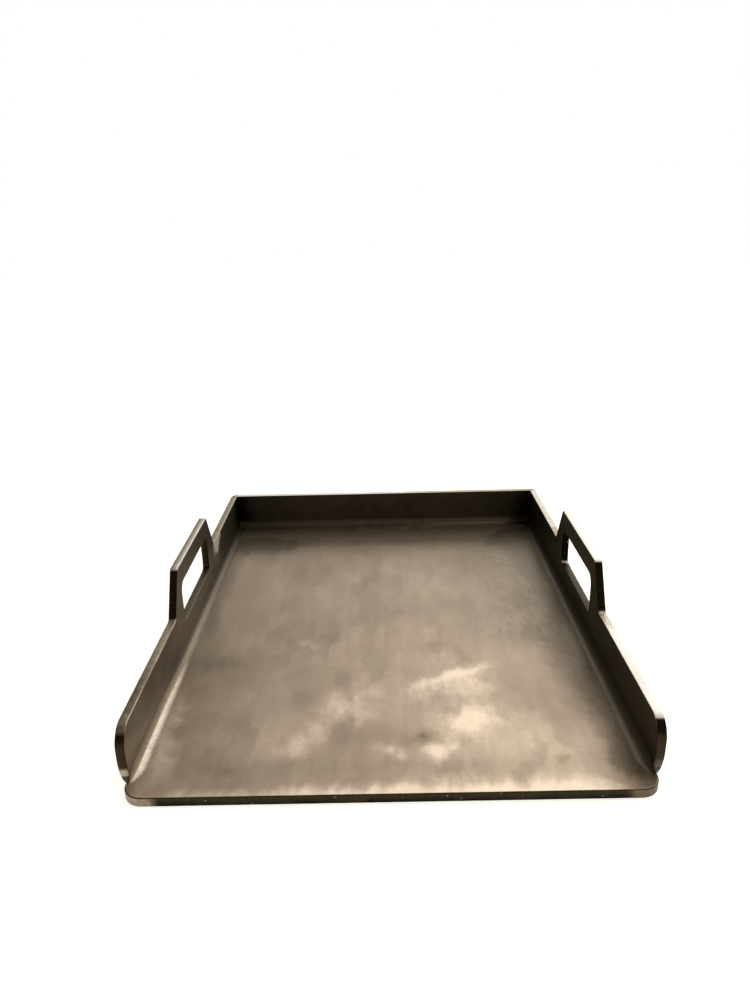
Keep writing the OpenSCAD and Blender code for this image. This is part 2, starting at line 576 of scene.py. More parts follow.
@dataclass(frozen=True)
class PlateFinish:
    """Hot-rolled mild steel plate with laser-cut edges.

    Rolled faces carry a thin brown scale that is rubbed to a satin grey in patches and along the
    rolling direction. Cut edges are darker, grooved across and nicked bright, and upper arrises are worn.
    Some bright places and upper edges are painted highlights, and some stains and darkened edges painted
    shade.
    """

    name: str
    # Colour of stains and of painted shade on the faces
    stain_and_shade: str
    dark: str
    light: str
    burnish: str
    cut: str
    film: str
    ground: str
    arris: str
    # Colour of painted shade on the cut edges
    dark_shade: str
    # Roughness of dark and light scale, of rubbed places, and of cut and ground edges
    roughness: Range
    burnish_roughness: float
    edge_roughness: Range
    # How metallic scale and rubbed places are, and cut and ground edges
    metallic: Range
    edge_metallic: Range
    # Grain and grooves are finer in truth, and are drawn as coarse as they need to show
    grain: float = 1.3 * MM
    groove: float = 1.1 * MM
    groove_length: float = 14 * MM
    pit: float = 24 * MM
    nick: float = 4 * MM
    nick_radius: float = 0.48 * MM
    stroke: Range = (4.5 * MM, 12 * MM)
    ragged: float = 3 * MM
    # Weight of the patches in a rubbed place, and a share that is rubbed everywhere
    patchy: Range = (0.7, 0.15)
    # Strengths at which stains and painted shade, and bright places and painted highlights, set in, and at
    # which they are full
    stain_and_shade_from: Range = (-0.03, -0.6)
    burnish_from: Range = (0.0, 0.95)
    # What a pattern's values give: shades, a shift of the half-ground places, and wear of the arrises
    pit_shade: Remap = (0.02, 0.05, 0.7, 1.0)
    grain_shade: Remap = (0.3, 0.7, 0.93, 1.07)
    groove_shade: Remap = (0.3, 0.72, 0.82, 1.2)
    ragged_shift: Remap = (0.3, 0.7, -0.6, 0.6)
    arris_wear: Remap = (0.3, 0.65, 0.2, 0.9)
    # Share of the grinding up to which a film stays, which is also a nick's share
    film_end: float = 0.75
    # Strength and height of the bump
    relief: Range = (0.35, 0.06 * MM)

    def rubbing(self, add: Adder, where: Socket, patch: Socket, strength: Socket) -> tuple[Socket, ...]:
        """Adds rubbed places and stains, some of them painted highlights and painted shade, which break up
        into the patches and into strokes along the tray.

        Args:
            add: Adds a node to the material.
            where: Place in the frame.
            patch: Patches of the scale.
            strength: Strength of the places.

        Returns:
            The share of stains and painted shade, and the share of scale that is rubbed thin and bright,
            painted highlights included.
        """
        stroke_way = add("Mapping", {"Vector": where, "Scale": along_tray(*self.stroke)})
        stroke = add("TexNoise", {"Vector": stroke_way, "Scale": 1.0, "Detail": 4.0, "Roughness": 0.6})
        uneven = add("Math", (patch, *self.patchy), operation="MULTIPLY_ADD")
        uneven = add("Math", (stroke, uneven), operation="ADD")
        uneven = add("Math", (uneven, strength), operation="MULTIPLY")
        return tuple(
            add("MapRange", (uneven, *ends), **SOFT) for ends in (self.stain_and_shade_from, self.burnish_from)
        )

    def rolled_face(
        self, add: Adder, where: Socket, tone: Socket, stained_and_shaded: Socket, thin: Socket,
    ) -> tuple[Socket, Socket]:
        """Adds the rolled faces, with their grain and pits.

        Args:
            add: Adds a node to the material.
            where: Place in the frame.
            tone: Tone of the scale.
            stained_and_shaded: Share of stains and painted shade.
            thin: Share of scale that is rubbed thin, painted highlights included.

        Returns:
            The colour and the grain.
        """
        colour = add("Mix", {0: tone, 6: to_linear(self.dark), 7: to_linear(self.light)}, **COLOURS)
        for share, shade in ((stained_and_shaded, self.stain_and_shade), (thin, self.burnish)):
            colour = add("Mix", {0: share, 6: colour, 7: to_linear(shade)}, **COLOURS)
        grain = add("TexNoise", {"Vector": where, "Scale": 1 / self.grain, "Detail": 3.0, "Roughness": 0.6})
        grainy = add("MapRange", (grain, *self.grain_shade))
        pits = add("TexVoronoi", {"Vector": where, "Scale": 1 / self.pit})
        pitted = add("MapRange", (pits, *self.pit_shade))
        fine = add("Math", (pitted, grainy), operation="MULTIPLY")
        return add("VectorMath", {0: colour, "Scale": fine}, operation="SCALE"), grain

    def grinding(self, add: Adder, where: Socket, mark: Socket) -> Socket:
        """Adds the grinding, ragged where an edge is ground in part: g + n g (1 - g) with a noise n.

        Args:
            add: Adds a node to the material.
            where: Place in the frame.
            mark: How far the edge is ground.

        Returns:
            The ground share.
        """
        ragged = add("TexNoise", {"Vector": where, "Scale": 1 / self.ragged, "Detail": 4.0})
        ragged = add("MapRange", (ragged, *self.ragged_shift))
        unground = add("Math", (1.0, mark), operation="SUBTRACT")
        for share in (unground, mark):
            ragged = add("Math", (ragged, share), operation="MULTIPLY")
        return add("Math", (ragged, mark), operation="ADD", use_clamp=True)

    def cut_edge(
        self, add: Adder, where: Socket, axis: Axis, stained_and_shaded: Socket, ground: Socket,
    ) -> tuple[Socket, Socket]:
        """Adds the cut edges, with grooves of the cutting jet, which run through the thickness, and nicks.

        Args:
            add: Adds a node to the material.
            where: Place in the frame.
            axis: Direction of the plate's thickness.
            stained_and_shaded: Share of painted shade.
            ground: Ground share.

        Returns:
            The colour and the grooves.
        """
        squeeze = [1 / self.groove] * 3
        squeeze[axis.value] = 1 / self.groove_length
        jet_way = add("Mapping", {"Vector": where, "Scale": squeeze})
        groove = add("TexNoise", {"Vector": jet_way, "Scale": 1.0, "Detail": 2.0})
        jet = add("MapRange", (groove, *self.groove_shade))
        colour = add("VectorMath", {0: to_linear(self.cut)[:3], "Scale": jet}, operation="SCALE")
        # Painted shade darkens the cut edges where the marks fall below zero
        colour = add("Mix", {0: stained_and_shaded, 6: colour, 7: to_linear(self.dark_shade)}, **COLOURS)
        # Nicks are bright on a dark edge and dark on a ground one
        nick_end = self.nick_radius / self.nick
        nicks = add("TexVoronoi", {"Vector": where, "Scale": 1 / self.nick})
        nicks = add("MapRange", (nicks, nick_end / 2, nick_end, self.film_end, 0.0))
        bright = add("Math", (nicks, ground), operation="SUBTRACT")
        bright = add("Math", (bright,), operation="ABSOLUTE")
        # A brown film stays on what is ground in part
        for ends, shade in (((0.0, self.film_end), self.film), ((self.film_end, 1.0), self.ground)):
            share = add("MapRange", (bright, *ends))
            colour = add("Mix", {0: share, 6: colour, 7: to_linear(shade)}, **COLOURS)
        return colour, groove

    def material(self, axis: Axis) -> bpy.types.Material:
        """Makes the finish for a plate whose thickness lies along an axis.

        Args:
            axis: Direction of the plate's thickness.

        Returns:
            The node material.
        """
        made = bpy.data.materials.new(f"{self.name}_{axis.name.lower()}")
        add = fresh_tree(made)
        where = add("TexCoord", output="Object")
        cut_mark, arris_mark, ground_mark, level_mark, rub_stain_and_light_mark = (
            add("Attribute", output="Fac", attribute_name=mark.value)
            for mark in (Mark.CUT, Mark.ARRIS, Mark.GROUND, Mark.LEVEL, Mark.BURNISH)
        )
        patch, tone = ROLLING.fields(add, where)
        stained_and_shaded, thin = self.rubbing(add, where, patch, rub_stain_and_light_mark)
        face, grain = self.rolled_face(add, where, tone, stained_and_shaded, thin)
        ground = self.grinding(add, where, ground_mark)
        edge, groove = self.cut_edge(add, where, axis, stained_and_shaded, ground)
        colour = add("Mix", {0: cut_mark, 6: face, 7: edge}, **COLOURS)
        worn = add("MapRange", (patch, *self.arris_wear))
        for share in (arris_mark, level_mark):
            worn = add("Math", (worn, share), operation="MULTIPLY")
        colour = add("Mix", {0: worn, 6: colour, 7: to_linear(self.arris)}, **COLOURS)
        scale_rough = add("MapRange", (tone, 0.0, 1.0, *self.roughness))
        rough, metal = (
            add("Mix", {
                0: cut_mark,
                2: add("Mix", {0: thin, 2: of_scale, 3: of_thin}),
                3: add("Mix", {0: ground, 2: of_cut, 3: of_ground}),
            })
            for (of_scale, of_thin), (of_cut, of_ground) in (
                ((scale_rough, self.burnish_roughness), self.edge_roughness),
                (self.metallic, self.edge_metallic),
            )
        )
        height = add("Mix", {0: cut_mark, 2: grain, 3: groove})
        close_material(add, colour, rough, metal, height, self.relief)
        return made


@dataclass(frozen=True)
class WeldFinish:
    """Mild steel weld metal dressed with an abrasive disc.

    It runs from the wall's tone into the floor's, matt, with a bright line near the floor where the
    disc has run, sharp towards the wall, soft towards the floor and broken up by its fine scratches.
    That line is dressed metal and a painted highlight, and marks below zero darken the beads as painted
    shade.
    """

    name: str
    wall: PlateFinish
    floor: PlateFinish
    crown: str
    # Values away from the bright line, a painted highlight, and on it
    roughness: Range
    metallic: Range
    # Scratches are finer in truth, and are drawn as coarse as they need to show
    scratch: float = 0.9 * MM
    patch: float = 14 * MM
    scratch_share: float = 0.7
    # What the way from wall to floor gives: the floor's tone, and the painted highlight's rise and fall
    floor_tone: Remap = (0.0, 0.25, 0.0, 0.7)
    highlight_rise: Remap = (0.52, 0.6, 0.0, 1.0)
    highlight_fall: Remap = (0.7, 1.3, 1.0, 0.0)
    # What scratches and patches give: the painted highlight's strength
    highlight_strength: Remap = (0.36, 0.54, 0.3, 1.0)
    # Strength and height of the bump
    relief: Range = (0.5, 0.1 * MM)

    def material(self) -> bpy.types.Material:
        """Makes the finish of the dressed beads.

        Returns:
            The node material.
        """
        made = bpy.data.materials.new(self.name)
        add = fresh_tree(made)
        where = add("TexCoord", output="Object")
        span, ground, burnish = (
            add("Attribute", output="Fac", attribute_name=mark.value)
            for mark in (Mark.SPAN, Mark.GROUND, Mark.BURNISH)
        )
        tone = ROLLING.fields(add, where)[1]
        wall, floor = (
            add("Mix", {0: tone, 6: to_linear(plate.dark), 7: to_linear(plate.light)}, **COLOURS)
            for plate in (self.wall, self.floor)
        )
        toward_floor = add("MapRange", (span, *self.floor_tone), **SOFT)
        # Marks below zero are painted shade, and marks above zero strengthen the painted highlight
        shaded = add("MapRange", (burnish, 0.0, -1.0))
        # The disc's bright line, dressed metal and a painted highlight, lies towards the floor
        patch = add("TexNoise", {"Vector": where, "Scale": 1 / self.patch, "Detail": 4.0})
        scratch = add(
            "TexNoise", {"Vector": where, "Scale": 1 / self.scratch, "Detail": 3.0, "Roughness": 0.65},
        )
        blend = add("Mix", {0: self.scratch_share, 2: patch, 3: scratch})
        highlight_share = add("MapRange", (blend, *self.highlight_strength), **SOFT)
        rise, fall = (add("MapRange", (span, *line), **SOFT) for line in (self.highlight_rise, self.highlight_fall))
        for share in (rise, fall, burnish):
            highlight_share = add("Math", (highlight_share, share), operation="MULTIPLY", use_clamp=True)
        colour = add("Mix", {0: toward_floor, 6: wall, 7: floor}, **COLOURS)
        for share, shade in ((shaded, self.wall.stain_and_shade), (highlight_share, self.crown), (ground, self.wall.ground)):
            colour = add("Mix", {0: share, 6: colour, 7: to_linear(shade)}, **COLOURS)
        rough, metal = (
            add("Mix", {0: highlight_share, 2: dull, 3: crown}) for dull, crown in (self.roughness, self.metallic)
        )
        close_material(add, colour, rough, metal, scratch, self.relief)
        return made


# Plate scrubbed by cleaning: a warm, satin grey-brown with soft bright smears and dull stains, and painted
# shade beside the walls
FLOOR_STEEL = PlateFinish(
    name="hot_rolled_steel_rubbed",
    stain_and_shade="#655b4b", dark="#837564", light="#9b8c7a", burnish="#d2c1ae", cut="#383224",
    film="#aa9a82", ground="#c2b29d", arris="#8f8475", dark_shade="#0c0a06",
    roughness=(0.4, 0.34), burnish_roughness=0.34, edge_roughness=(0.55, 0.45),
    metallic=(0.72, 0.72), edge_metallic=(1.0, 0.72),
)
# Plate in its scale: a darker, duller brown, with edges that the grinder has left bright, whitened further as
# painted highlight
WALL_STEEL = PlateFinish(
    name="hot_rolled_steel_scale",
    stain_and_shade="#231f18", dark="#5a5345", light="#6d6454", burnish="#efe6d8", cut="#32291b",
    film="#b2a791", ground="#f2f0ec", arris="#d8cbb8", dark_shade="#0c0a06",
    roughness=(0.5, 0.4), burnish_roughness=0.4, edge_roughness=(0.45, 0.4),
    metallic=(1.0, 0.3), edge_metallic=(1.0, 0.4),
    nick=4.5 * MM, nick_radius=0.45 * MM,
)
# Weld metal dressed with a disc: matt, in the plates' tones, with one bright and finely scratched line that
# is also a painted highlight
WELD_STEEL = WeldFinish(
    name="dressed_weld_steel", wall=WALL_STEEL, floor=FLOOR_STEEL, crown="#fff3e2",
    roughness=(0.5, 0.32), metallic=(0.65, 0.3),
)


@dataclass(frozen=True)
class EdgeWearAndLight:
    """How far grinding and use, and partly painted highlights on upward edges of the lit right side, have
    brightened a side's cut edges, from 0 to 1.

    The wall's top has a value at each of the side plate's wear_places, and the ground part of it ends
    nose_end behind the front. The handle's top has one at its inner and one at its outer arris.
    slot_corner_glint is a painted highlight, and slot_shade is painted shade.
    """

    wall_top: tuple[float, ...]
    handle_top: Range
    slot: float
    slot_corner_glint: float
    slot_shade: float
    toe: float
    lip_corner: float
    nose_end: float
    rear_corner: float


EDGE_WEAR_AND_LIGHT = {
    Side.LEFT: EdgeWearAndLight(
        wall_top=(0.46, 0.24, 0.26, 0.56, 0.52, 0.52, 0.52, 0.52), handle_top=(1.0, 0.5), slot=0.14,
        slot_corner_glint=0.0, slot_shade=0.2, toe=0.66, lip_corner=0.54, nose_end=3.8 * MM, rear_corner=0.3,
    ),
    Side.RIGHT: EdgeWearAndLight(
        wall_top=(1.0, 1.0, 0.94, 1.0, 0.8, 0.8, 0.6, 0.86), handle_top=(1.0, 1.0), slot=0.0,
        slot_corner_glint=1.0, slot_shade=1.0, toe=0.07, lip_corner=0.22, nose_end=6.5 * MM, rear_corner=0.08,
    ),
}


@dataclass
class BasePlate:
    """The cooking floor with its front lip."""

    node: str = "base_plate"
    corner_radius: float = 12 * MM
    ear_slope: float = 0.3 * MM
    arris: float = 0.6 * MM
    seam_arris: float = 0.25 * MM
    step: float = 3 * MM
    drift_wave: float = 60 * MM
    drift_seed: int = 3
    # Depth of the lip's front, in corner radii
    front_depth: float = 1.6
    # Where the ground part of a corner sets in, across the tray from the corner's centre
    ground_from: Range = (-9 * MM, -3 * MM)
    # Painted shade on the lip's lower arris, a contact shadow that thins out up its front
    lip_shade: float = 0.45
    # Places of the cooking floor by x and y: bright smears and stains, with painted light along the back seam
    # and painted shade and painted reflection of the walls beside the walls
    marked_places: MarkedPlaces = (
        (58, -105, 64, 48, 20, 0.17),
        (98, -166, 42, 34, 0, 0.28),
        (85, -20, 40, 60, 0, -0.28),
        (-50, -152, 85, 38, 0, 0.2),
        (-106, -152, 32, 18, 0, 0.14),
        (-141, -150, 9, 58, 0, 0.58),
        (48, -86, 40, 13, 26, 0.3),
        (48, -84, 24, 4, 26, 0.62),
        (57, -134, 22, 20, 35, 0.25),
        (50, -136, 14, 11, 35, 0.6),
        (32, -166, 9, 6, 0, 0.6),
        (2, -168, 12, 6, -40, 0.45),
        (-58, -160, 12, 10, 60, 0.32),
        (-46, -145, 7, 8, 0, 0.24),
        (-34, -118, 12, 18, 0, 0.34),
        (-56, -41, 13, 6, -30, 0.26),
        (-20, -70, 50, 40, 0, 0.12),
        (6, 13, 40, 6, -75, 0.16),
        # The next three, along the back seam, are painted light
        (0, 180, 130, 14, 0, 0.25),
        (70, 191, 90, 5, 0, 0.6),
        (-50, 191, 70, 5, 0, 0.3),
        (-130, -196, 18, 8, 0, -0.1),
        (70, -205, 80, 8, 0, 0.75),
        (96, -198, 40, 9, 0, 0.3),
        (122, -192, 20, 9, 0, 0.14),
        (10, -199, 16, 6, 0, 0.25),
        (-90, -204, 72, 7, 0, 0.52),
        (-24, -203, 32, 8, 0, 0.54),
        (22, -154, 9, 4, 10, -0.75),
        (-14, -149, 18, 9, 20, -0.3),
        (-118, -64, 24, 15, 0, -0.35),
        (-112, -90, 20, 16, 0, -0.2),
        (-133, -143, 6, 6, 0, -0.4),
        (-99, -181, 14, 8, 0, -0.28),
        # The next nine, beside the side walls and the back, are painted shade and painted reflection of the
        # walls
        (-124, 149, 42, 21, 0, -0.8),
        (-10, 153, 110, 13, 0, -0.32),
        (128, 156, 26, 20, 0, -0.58),
        (138, 125, 17.5, 72, 0, -0.56),
        (133, 20, 24, 80, 0, -0.43),
        (134, -76, 19, 62, 0, -0.36),
        (137, -170, 14, 42, 0, -0.54),
        (-139, 20, 9, 75, 0, -0.28),
        (96, 112, 45, 48, 0, -0.28),
        (-30, -181, 90, 6, 0, -0.25),
        (101, -175, 3, 3, 0, -0.45),
        (50, -100, 18, 11, 0, 0.26),
        (-17, -105, 9, 38, 0, 0.2),
        (38, -174, 20, 28, 0, 0.2),
        (42, -60, 18, 16, 0, 0.2),
        (-85, -62, 12, 42, 0, 0.18),
        (-92, 62, 18, 26, 0, 0.18),
        (100, 25, 16, 50, 0, -0.1),
        (80, 75, 30, 40, 0, -0.07),
        # The next two, beside the side walls, are painted shade
        (138, -184, 13, 9, 0, -0.3),
        (-139, 100, 9, 30, 0, -0.15),
        (36, -190, 12, 14, 0, 0.2),
        (60, -203, 24, 5, 0, 0.3),
        (62, -100, 20, 15, 0, 0.14),
    )

    def outline(self) -> tuple[Array, int]:
        """Outline of the plate in the plane of X and Y.

        Each long side takes the rounded corner, slopes in behind the lip's ear and goes on in even
        steps along the seam, so both are cut alike.

        Returns:
            Anticlockwise points from the lip's left end, and the number of edges along the lip.
        """
        low, high = cad_box(self.node)
        radius, inside, toe = self.corner_radius, cad_box("back_plate")[1][0], cad_box("left_seam_weld")[0][1]
        across = round((high[0] - low[0] - 2 * radius) / self.step)
        lip = np.linspace(low[0] + radius, high[0] - radius, across + 1)
        rise = np.linspace(toe, high[1], round((high[1] - toe) / self.step) + 1)
        right = np.vstack((
            arc((high[0] - radius, low[1] + radius), radius, -90, 0),
            [(high[0], toe - self.ear_slope)],
            np.column_stack((np.full(len(rise), inside), rise)),
        ))
        left = right * (-1, 1)
        rear = np.column_stack((np.linspace(inside, -inside, across + 1), np.full(across + 1, high[1])))
        front = np.column_stack((lip, np.full(across + 1, low[1])))
        return np.vstack((front[:-1], right[:-1], rear[:-1], left[:0:-1])), across

    def build(self) -> Surface:
        """Builds the plate: rounded arrises on the lip, close ones in the welded seams.

        Returns:
            The closed surface with its marks.
        """
        low, high = cad_box(self.node)
        loop, across = self.outline()
        free = 1 - smooth_step(loop[:, 1], low[1] + self.corner_radius, low[1] + 2 * self.corner_radius)
        hand = 1 + HAND_DRIFT * wander(loop[:, 0] + loop[:, 1], self.drift_wave, self.drift_seed)
        arris = self.seam_arris + (self.arris - self.seam_arris) * free * hand
        made = panel_surface(
            loop, across, high[2] - low[2], arris, lambda p, depth: np.column_stack((p, high[2] - depth)),
        )
        x, y, z = made.points.T
        left, right = (EDGE_WEAR_AND_LIGHT[side].lip_corner for side in Side)
        corner = smooth_step(np.abs(x) - (high[0] - self.corner_radius), *self.ground_from)
        front = y < low[1] + self.front_depth * self.corner_radius
        between = made.marks[Mark.CUT] * (made.marks[Mark.ARRIS] < TINY)
        made.marks[Mark.GROUND] = corner * front * np.where(x < 0, left, right) * between
        lower = z < (low[2] + high[2]) / 2
        made.marks[Mark.BURNISH] = rubbed(made.points[:, :2], self.marked_places) * (z > high[2] - TINY)
        # Painted contact shadow along the lip's lower front
        made.marks[Mark.BURNISH] -= self.lip_shade * front * lower * made.marks[Mark.CUT]
        return made

    def dress(self) -> None:
        """Builds the plate and gives it the rubbed floor finish."""
        self.build().settle(self.node, "floor_steel", FLOOR_STEEL.material(Axis.Z))


@dataclass
class SidePlate:
    """A side wall with its handle and hand slot, cut from one plate."""

    side: Side
    wall_height: float = 40 * MM
    nose_top_radius: float = 13 * MM
    nose_points: int = 17
    toe_radius: float = 38 * MM
    toe_height: float = 22 * MM
    toe_points: int = 15
    handle_top: float = 101 * MM
    handle_foot: float = 138 * MM
    handle_shift: float = 3 * MM
    handle_radius: float = 4 * MM
    handle_points: int = 7
    grip: float = 15 * MM
    slot_length: float = 90 * MM
    slot_height: float = 30 * MM
    slot_radius: float = 8 * MM
    slot_low_radius: float = 4 * MM
    # Height in the slot from which the whole outline can be seen
    hub_height: float = 33 * MM
    arris: float = 0.4 * MM
    seam_arris: float = 0.05 * MM
    step: float = 2.5 * MM
    drift_wave: float = 45 * MM
    drift_seed: int = 5
    # Places along the tray, in mm, at which the wear of the wall's top is given
    wear_places: tuple[float, ...] = (-180.0, -168.0, -150.0, -92.0, -72.0, 74.0, 86.0, 104.0)
    # Edges this far above or below the wall's top belong to the handle or to the slot
    top_band: float = 6 * MM
    # Heights at which the toe's ground place sets in, above a painted shadow, and ends, and its depth behind
    # the front
    toe_from: Range = (7.5 * MM, 9 * MM)
    toe_until: Range = (13 * MM, 14.5 * MM)
    toe_depth: float = 9 * MM
    # Painted highlight at the slot's low rear corner: its place before the slot's end, half length and half
    # height
    glint_shift: float = 2 * MM
    glint_half: Range = (2.2 * MM, 1.5 * MM)
    # Painted shade at the slot's rear end sets in this far below the wall's top
    shade_depth: float = 10 * MM
    # Places of the inner faces by y and z: the two near the left handle's rear foot are a painted highlight,
    # and those at the rear ends are painted shade of the rear corners
    marked_places: dict[Side, MarkedPlaces] = field(default_factory=lambda: {
        Side.LEFT: (
            (82, 33, 12, 9, 20, 0.62),
            (90, 38, 12, 6, 0, 2.0),
            (-135, 16, 70, 22, 0, 0.08),
            (98, 13, 34, 14, 0, -0.42),
            (30, 24, 60, 14, 0, -0.18),
            (197, 22, 13, 26, 0, -0.55),
        ),
        Side.RIGHT: ((197, 22, 13, 26, 0, -0.55),),
    })

    @property
    def node(self) -> str:
        """Name of the CAD node."""
        return f"{self.side.name.lower()}_side_plate"

    def middle(self) -> float:
        """Place of the handle's middle along the tray."""
        low, high = cad_box(self.node)
        return (low[1] + high[1]) / 2 + self.handle_shift

    def outline(self) -> Array:
        """Outline of the plate in the plane of Y and Z.

        The handle's slopes lean by the angle whose tangent is half of foot less top over the rise,
        and its shoulders and feet are arcs tangent to the slope and to the level edges.

        Returns:
            Anticlockwise points.
        """
        low, high = cad_box(self.node)
        mid, wall = self.middle(), self.wall_height
        r, nose, sweep = self.handle_radius, self.nose_top_radius, self.toe_radius
        lean = math.atan((self.handle_foot - self.handle_top) / 2 / (high[2] - wall))
        share = r * math.tan((math.pi / 2 - lean) / 2)
        slope = math.degrees(lean)
        foot, top = self.handle_foot / 2 + share, self.handle_top / 2 - share
        toe = math.degrees(math.asin(self.toe_height / sweep))
        return np.vstack((
            [(high[1], 0.0), (high[1], wall)],
            arc((mid + foot, wall + r), r, -90, slope - 180, self.handle_points),
            arc((mid + top, high[2] - r), r, slope, 90, self.handle_points),
            arc((mid - top, high[2] - r), r, 90, 180 - slope, self.handle_points),
            arc((mid - foot, wall + r), r, -slope, -90, self.handle_points),
            arc((low[1] + nose, wall - nose), nose, 90, 180, self.nose_points),
            arc((low[1] + sweep, self.toe_height), sweep, 180, 180 + toe, self.toe_points),
        ))

    def slot_outline(self) -> Array:
        """Rectangle of the hand slot in the plane of Y and Z, rounded more at its upper corners.

        Returns:
            Anticlockwise points.
        """
        mid, half, upper, lower = self.middle(), self.slot_length / 2, self.slot_radius, self.slot_low_radius
        high = cad_box(self.node)[1][2] - self.grip
        low = high - self.slot_height
        return np.vstack((
            arc((mid + half - lower, low + lower), lower, -90, 0),
            arc((mid + half - upper, high - upper), upper, 0, 90),
            arc((mid - half + upper, high - upper), upper, 90, 180),
            arc((mid - half + lower, low + lower), lower, 180, 270),
        ))

    def build(self) -> Surface:
        """Builds the plate as a ring between its slot and its outline.

        Returns:
            The closed surface with its marks.
        """
        low, high = cad_box(self.node)
        hub = np.array([self.middle(), self.hub_height])
        outer = resample(self.outline(), self.step)
        rel = outer - hub
        slot = ray_hits(self.slot_outline(), hub, np.arctan2(rel[:, 1], rel[:, 0]))
        free = smooth_step(high[1] - outer[:, 0], *WELD_FADE)
        seed = self.drift_seed + self.side.value
        hand = 1 + HAND_DRIFT * wander(outer[:, 0] + outer[:, 1], self.drift_wave, seed)
        arris = self.seam_arris + (self.arris - self.seam_arris) * free * hand
        inner = low[0] if self.side is Side.RIGHT else high[0]
        made = ring_surface(
            outer, slot, high[0] - low[0], arris,
            lambda p, depth: np.column_stack((inner + self.side.value * depth, p)),
        )
        if self.side is Side.RIGHT:
            made.flip()
        self.wear_edges(made, inner)
        return made

    def wear_edges(self, made: Surface, inner: float) -> None:
        """Marks where the plate's edges are ground, painted with highlights and painted with shade, and where
        its inner face is rubbed, marked with stains and painted with highlight and shade.

        Args:
            made: Surface of the plate.
            inner: Place of the inner face across the tray.
        """
        low, high = cad_box(self.node)
        wear = EDGE_WEAR_AND_LIGHT[self.side]
        cut, level = made.marks[Mark.CUT], made.marks[Mark.LEVEL]
        x, y, z = made.points.T
        depth = np.abs(x - inner)
        slot_end, slot_top = self.middle() + self.slot_length / 2, high[2] - self.grip
        toe = y < low[1] + self.toe_depth
        toe_ground = smooth_step(z, *self.toe_from) * (1 - smooth_step(z, *self.toe_until)) * toe
        share = np.select(
            (z < self.wall_height - self.top_band, z > self.wall_height + self.top_band),
            (wear.slot, np.interp(depth / (high[0] - low[0]), (0, 1), wear.handle_top)),
            np.interp(y / MM, self.wear_places, wear.wall_top),
        )
        topped = level * share * (y > low[1] + wear.nose_end)
        # Painted highlight at the slot's low rear corner
        half_length, half_height = self.glint_half
        glint = np.abs(y - slot_end + self.glint_shift) < half_length
        glint = glint * (np.abs(z - slot_top + self.slot_height) < half_height) * cut
        made.marks[Mark.GROUND] = np.maximum.reduce((toe_ground * wear.toe, topped, glint * wear.slot_corner_glint))
        # Painted shade at the slot's rear end, and a painted shadow under the toe's ground place
        shaded = (np.abs(y - slot_end) < self.slot_radius) * (1 - level)
        shaded = wear.slot_shade * shaded * (z > self.wall_height - self.shade_depth) * (z < slot_top)
        shaded += toe * (z < self.toe_from[0])
        made.marks[Mark.BURNISH] = rubbed(made.points[:, 1:], self.marked_places[self.side]) * (depth < FACE_DEPTH)
        made.marks[Mark.BURNISH] -= shaded * cut

    def dress(self) -> None:
        """Builds the plate and gives it the scaled wall finish."""
        self.build().settle(self.node, "wall_steel", WALL_STEEL.material(Axis.X))


@dataclass
class BackPlate:
    """The rear wall."""

    node: str = "back_plate"
    # Places of the inner face by x and z: painted shade in the two rear corners
    marked_places: MarkedPlaces = (
        (-150, 24, 15, 24, 0, -0.7),
        (150, 24, 15, 24, 0, -0.7),
    )
    # Wear of the top, partly painted highlight, and where across the tray, in mm, it falls off
    top_wear_and_sheen: Range = (1.0, 0.55)
    wear_places: Range = (-30.0, 150.0)
    arris: float = 0.4 * MM
    seam_arris: float = 0.05 * MM
    step: float = 4 * MM

    def build(self) -> Surface:
        """Builds the plate as a rectangle whose ends are welded and whose long edges are free.

        Returns:
            The closed surface with its marks.
        """
        low, high = cad_box(self.node)
        corners = np.array([(low[0], low[2]), (high[0], low[2]), (high[0], high[2]), (low[0], high[2])])
        loop = resample(corners, self.step)
        across = round((high[0] - low[0]) / self.step)
        end = np.minimum(high[0] - loop[:, 0], loop[:, 0] - low[0])
        arris = self.seam_arris + (self.arris - self.seam_arris) * smooth_step(end, *WELD_FADE)
        made = panel_surface(
            loop, across, high[1] - low[1], arris,
            lambda p, depth: np.column_stack((p[:, 0], low[1] + depth, p[:, 1])),
        )
        made.marks[Mark.LEVEL] *= np.interp(made.points[:, 0] / MM, self.wear_places, self.top_wear_and_sheen)
        made.marks[Mark.GROUND] = made.marks[Mark.LEVEL]
        inside = made.points[:, 1] < low[1] + FACE_DEPTH
        made.marks[Mark.BURNISH] = rubbed(made.points[:, ::2], self.marked_places) * inside
        return made

    def dress(self) -> None:
        """Builds the plate and gives it the scaled wall finish."""
        self.build().settle(self.node, "wall_steel", WALL_STEEL.material(Axis.Y))


